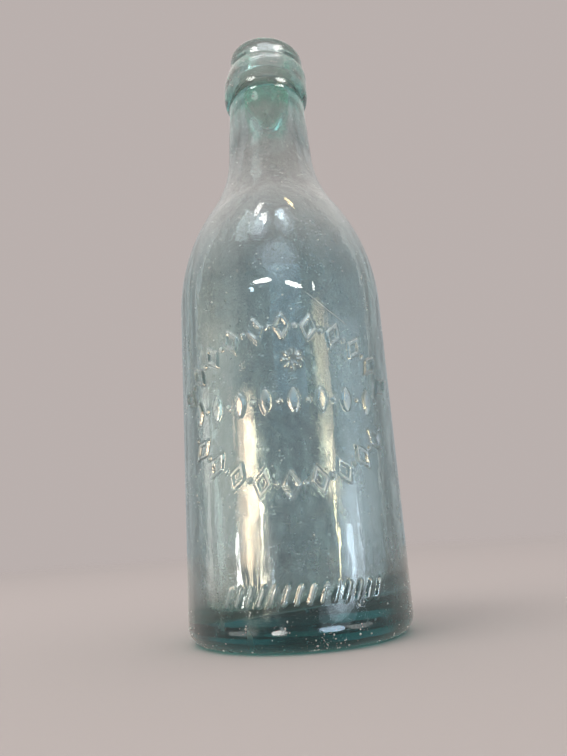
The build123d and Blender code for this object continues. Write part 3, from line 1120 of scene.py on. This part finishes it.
SPOTS = (
    # name, middle, point it faces, width and height in mm, lean, spread, brightness, colour
    ("pair_left", (-7.1, -40.2, 95.1), (-3.9, -29.7, 90.3), 8.3, 1.3, 3, 90, 34, WHITE),
    ("pair_right", (7.4, -40.2, 93.3), (4.1, -29.7, 88.6), 8.3, 1.3, -14, 90, 34, WHITE),
    ("dot_left", (-12.3, -38.9, 93.1), (-7, -29.2, 88.4), 2.4, 1.8, 0, 90, 24, COOL),
    ("dot_right", (16, -37.2, 92.7), (9.1, -28.6, 88), 1.4, 2.4, 0, 90, 20, WHITE),
    ("collar_left", (-7.3, -17.4, 167.5), (-4.3, -12.8, 167), 5.4, 3.2, 0, 90, 26, WHITE),
    ("collar_right", (8.6, -16.4, 165.8), (5, -12.3, 166.2), 6.0, 3.2, 0, 90, 24, WHITE),
    ("lip_left", (-5.2, -15.1, 181.8), (-2.8, -11.4, 179.4), 4.6, 2.4, 0, 90, 26, WHITE),
    ("lip_right", (7.7, -14.5, 181.9), (5, -11.3, 179.3), 5.4, 2.4, 0, 90, 24, WHITE),
    ("lip_band", (1.2, -17.2, 182.6), (1, -12.2, 179.4), 20, 3.4, 0, 110, 13, (0.85, 0.94, 1)),
    ("crown_left", (-13.4, -36.4, 155.6), (-4, -25, 113), 5, 14, 0, 40, 16, WHITE),
    ("crown_middle", (-8.1, -44.8, 150.5), (-2, -27, 110), 6, 9, 0, 40, 18, WHITE),
    ("crown_right", (5.7, -43.2, 152.3), (2, -27, 111), 7, 10, 0, 40, 14, COOL),
    ("glow_left", (-15, -50, 152), (-4.4, -27.6, 107.5), 12, 20, 0, 60, 5.0, COOL),
    ("glow_left_wide", (-15, -50.5, 151), (-4.4, -27.6, 107.5), 22, 32, 0, 60, 2.6, COOL),
    ("glow_right", (10.5, -50, 154), (3.4, -27.8, 108), 11, 18, 0, 60, 5.0, COOL),
    ("glow_right_wide", (11, -50.5, 152), (3.4, -27.8, 108), 20, 30, 0, 60, 2.6, COOL),
    ("foot_core", (24.5, -42, 10.4), (10.6, -28.1, 12.6), 5, 4, 0, 110, 16, COOL),
    ("foot_near", (22.5, -43, 9.4), (9.9, -28.4, 12.0), 12, 6, 10, 110, 3.2, COOL),
    ("foot_wide", (21.5, -43.6, 8.6), (9.5, -28.5, 11.6), 18, 9, 10, 110, 2.8, COOL),
    ("foot_far", (21, -44, 8.0), (9.5, -28.5, 11.6), 25, 13, 10, 110, 1.2, COOL),
    ("brow", (0, -77.4, 131), (0, -29.5, 95), 44, 28, 0, 120, 2.2, COOL),
    ("brow_wide", (0, -77.8, 131), (0, -29.5, 95), 62, 40, 0, 120, 1.5, COOL),
    ("crown_warm", (13.9, -30.6, 159), (4, -24, 115), 3, 12, 0, 40, 30, (1, 0.76, 0.36)),
    ("low_left", (-26, -34, 2.6), (-18, -24, 5.0), 16, 1.8, 0, 130, 3.5, WHITE),
    ("low_middle", (-9.8, -41.6, 2.6), (-4.9, -29.6, 4.5), 7, 2.2, 0, 130, 15, WHITE),
    ("low_blue", (13, -40.5, 2.7), (6.4, -29.3, 4.5), 12, 2.2, 0, 130, 13, (0.62, 0.8, 1)),
    ("low_right", (26, -34, 2.6), (18, -24, 5.0), 16, 1.8, 0, 130, 3.5, WHITE),
)


class BOTTLE_OT_lamps(bpy.types.Operator):
    """Sets the soft light and the bright cards and spots that the glass mirrors"""

    bl_idname = "bottle.lamps"
    bl_label = "Lamps"

    def execute(self, context):
        for cards, steps in ((CARDS, CARD_STEPS), (STREAKS, (1.0,))):
            for name, azimuth, low, high, width, strength, colour in cards:
                middle = (low + high) / 2 * MM
                for number, step in enumerate(steps):
                    place = away(azimuth, 0) * (CARD_DISTANCE + number * 0.2 * MM) + (0, 0, middle)
                    size = (math.radians(width * step) * CARD_DISTANCE,
                            (high - low) * MM * (0.75 + 0.25 * step))
                    soft_lamp(f"{name}_{number}", place, (0, 0, middle), size,
                              strength / len(steps), colour, through=len(steps) > 1)
        for name, middle, faced_point, width, height, lean, spread, strength, colour in SPOTS:
            soft_lamp(name, np.array(middle) * MM, np.array(faced_point) * MM,
                      (width * MM, height * MM), strength, colour, spread=spread, lean=lean,
                      shape="ELLIPSE")
        aim = np.array((0, 0, 90 * MM))
        soft_lamp("sky", aim + away(6, 19) * 0.5, aim, (0.28, 0.2), 1.6, (0.45, 0.75, 1.0))
        key = soft_lamp("key", aim + away(-60, 62) * 0.9, aim, (0.4, 0.4), 3.8, WHITE, lights=True)
        key.visible_glossy = False
        return {"FINISHED"}


def floor_material(pale, reach):
    """A matt pale floor fading out far from the bottle, darker through glass as painted shade."""
    material, tree = new_material("pale_floor")
    place = add(tree, "TexCoord").outputs["Object"]
    length = add(tree, "VectorMath", {0: place}, operation="LENGTH").outputs["Value"]
    shade_through_glass = add(tree, "LightPath").outputs["Is Transmission Ray"]
    surfaced(tree, {
        # painted shade: seen through the glass the floor is a fifth as bright
        "Base Color": mixed(
            tree, shade_through_glass, [1.08 * c for c in pale], [0.22 * c for c in pale]),
        "Roughness": 0.9, "Specular IOR Level": 0.0,
        "Alpha": ramp(tree, length, 0.12 * reach, 0.95 * reach, 1.0, 0.0, soft=True)})
    return material


def set_world(pale):
    """Pale surroundings for the camera, eight pale panels for the glass, plain light for the rest.

    Through the glass the background's colour shows, in panels by the cosine of eight times the
    direction round. The gaps between them fill higher up, and it's a little darker overhead.
    The glass mirrors a sky that is blue and dim low down and pale and bright overhead. All of it
    goes by direction alone, so it's the same from every side.
    """
    world = bpy.data.worlds.new("studio")
    bpy.context.scene.world = world
    world.use_nodes = True
    tree = world.node_tree
    tree.nodes.clear()
    part = axes(tree, "Generated")
    rise = part["Z"]
    azimuth = maths(tree, "ARCTAN2", part["X"], part["Y"])
    wave = maths(tree, "COSINE", plus(tree, times(tree, azimuth, 8.0), math.pi))
    panel = ramp(tree, wave, -1.0, 0.2, 0.3, 1.05, soft=True)
    filled = maths(tree, "MAXIMUM", panel, ramp(tree, rise, 0.32, 0.62, 0.3, 0.8))
    panels = times(tree, filled, ramp(tree, rise, 0.66, 0.88, 1.0, 0.75, soft=True))
    sky_tone = mixed(tree, ramp(tree, rise, 0.3, 0.75), SKY_LOW, SKY_HIGH)
    sky = ramp(tree, rise, 0.4, 1.0, 0.4, 2.4, soft=True)
    shown = add(tree, "Background", {"Color": (1, 0.99, 0.98, 1), "Strength": 0.86}).outputs[0]
    path = add(tree, "LightPath").outputs
    for ray, colour, strength in (("Is Glossy Ray", sky_tone, sky),
                                  ("Is Transmission Ray", (*pale, 1), panels),
                                  ("Is Camera Ray", (*pale, 1), 1.0)):
        background = add(tree, "Background", {"Color": colour, "Strength": strength}).outputs[0]
        shown = add(tree, "MixShader", {0: path[ray], 1: shown, 2: background}).outputs[0]
    add(tree, "OutputWorld", {"Surface": shown})


class BOTTLE_OT_stage(bpy.types.Operator):
    """Makes the pale floor and the pale surroundings"""

    bl_idname = "bottle.stage"
    bl_label = "Stage"

    def execute(self, context):
        form = context.scene.stage_form
        columns = 96
        turn = once_round(columns)
        reach = np.array([0.02, 0.1, 0.3, 0.8, form.floor_radius])[:, None]
        grid = np.stack([
            reach * np.cos(turn), reach * np.sin(turn), 0 * reach * turn - FLOOR_DROP], -1)
        points, quads, _ = lathe(grid, False)
        inner = np.arange(columns)
        fan = np.stack([np.full(columns, len(points)), inner, (inner + 1) % columns], 1)
        points = np.concatenate([points, [[0, 0, -FLOOR_DROP]]])
        quads = quads[: (len(reach) - 1) * columns]
        floor = mesh_object("floor", [(points, quads[:, ::-1], fan)])
        dress(floor, floor_material(form.pale, form.floor_radius))
        set_world(form.pale)
        return {"FINISHED"}


class BOTTLE_OT_camera(bpy.types.Operator):
    """Sets the camera at the photograph's place and lean"""

    bl_idname = "bottle.camera"
    bl_label = "Camera"

    place = (0.37 * MM, -176.31 * MM, 25.55 * MM)
    rise = math.radians(14.618)
    pan = math.radians(0.235)
    roll = math.radians(-3.828)

    def execute(self, context):
        data = bpy.data.cameras.new("camera")
        data.sensor_width = 36.0
        data.lens = context.scene.stage_form.lens
        data.clip_start = 0.01
        camera = bpy.data.objects.new("camera", data)
        context.scene.collection.objects.link(camera)
        turn = (Matrix.Rotation(self.pan, 4, "Z") @ Matrix.Rotation(math.pi / 2 + self.rise, 4, "X")
                @ Matrix.Rotation(self.roll, 4, "Z"))
        camera.matrix_world = Matrix.Translation(self.place) @ turn
        context.scene.camera = camera
        return {"FINISHED"}


class BOTTLE_PT_panel(bpy.types.Panel):
    """Lists the steps that make the bottle and its stage"""

    bl_idname = "BOTTLE_PT_panel"
    bl_label = "Bottle"
    bl_space_type = "VIEW_3D"
    bl_region_type = "UI"
    bl_category = "Bottle"

    def draw(self, context):
        for operator in OPERATORS:
            self.layout.operator(operator.bl_idname)
        for group in (context.scene.bottle_form, context.scene.relief_form,
                      context.scene.glass_colours, context.scene.stage_form):
            for name in group.__annotations__:
                self.layout.prop(group, name)


GROUPS = {
    "bottle_form": BottleForm,
    "relief_form": ReliefForm,
    "glass_colours": GlassColours,
    "stage_form": StageForm,
}
OPERATORS = (
    BOTTLE_OT_glass,
    BOTTLE_OT_film,
    BOTTLE_OT_dust,
    BOTTLE_OT_ring,
    BOTTLE_OT_marble,
    BOTTLE_OT_stage,
    BOTTLE_OT_lamps,
    BOTTLE_OT_camera,
)


def register():
    """Registers the groups, the operators and the panel, and puts the groups on every scene."""
    for name, group in GROUPS.items():
        bpy.utils.register_class(group)
        setattr(bpy.types.Scene, name, PointerProperty(type=group))
    for shown in (*OPERATORS, BOTTLE_PT_panel):
        bpy.utils.register_class(shown)


def unregister():
    """Takes back what register did, in the opposite order."""
    for shown in (BOTTLE_PT_panel, *reversed(OPERATORS)):
        bpy.utils.unregister_class(shown)
    for name, group in reversed(GROUPS.items()):
        delattr(bpy.types.Scene, name)
        bpy.utils.unregister_class(group)


def main():
    """Makes every piece and the stage."""
    register()
    bpy.context.scene.view_settings.view_transform = "Standard"
    bpy.ops.bottle.glass()
    bpy.ops.bottle.film()
    bpy.ops.bottle.dust()
    bpy.ops.bottle.ring()
    bpy.ops.bottle.marble()
    bpy.ops.bottle.stage()
    bpy.ops.bottle.lamps()
    bpy.ops.bottle.camera()


if __name__ == "__main__":
    main()
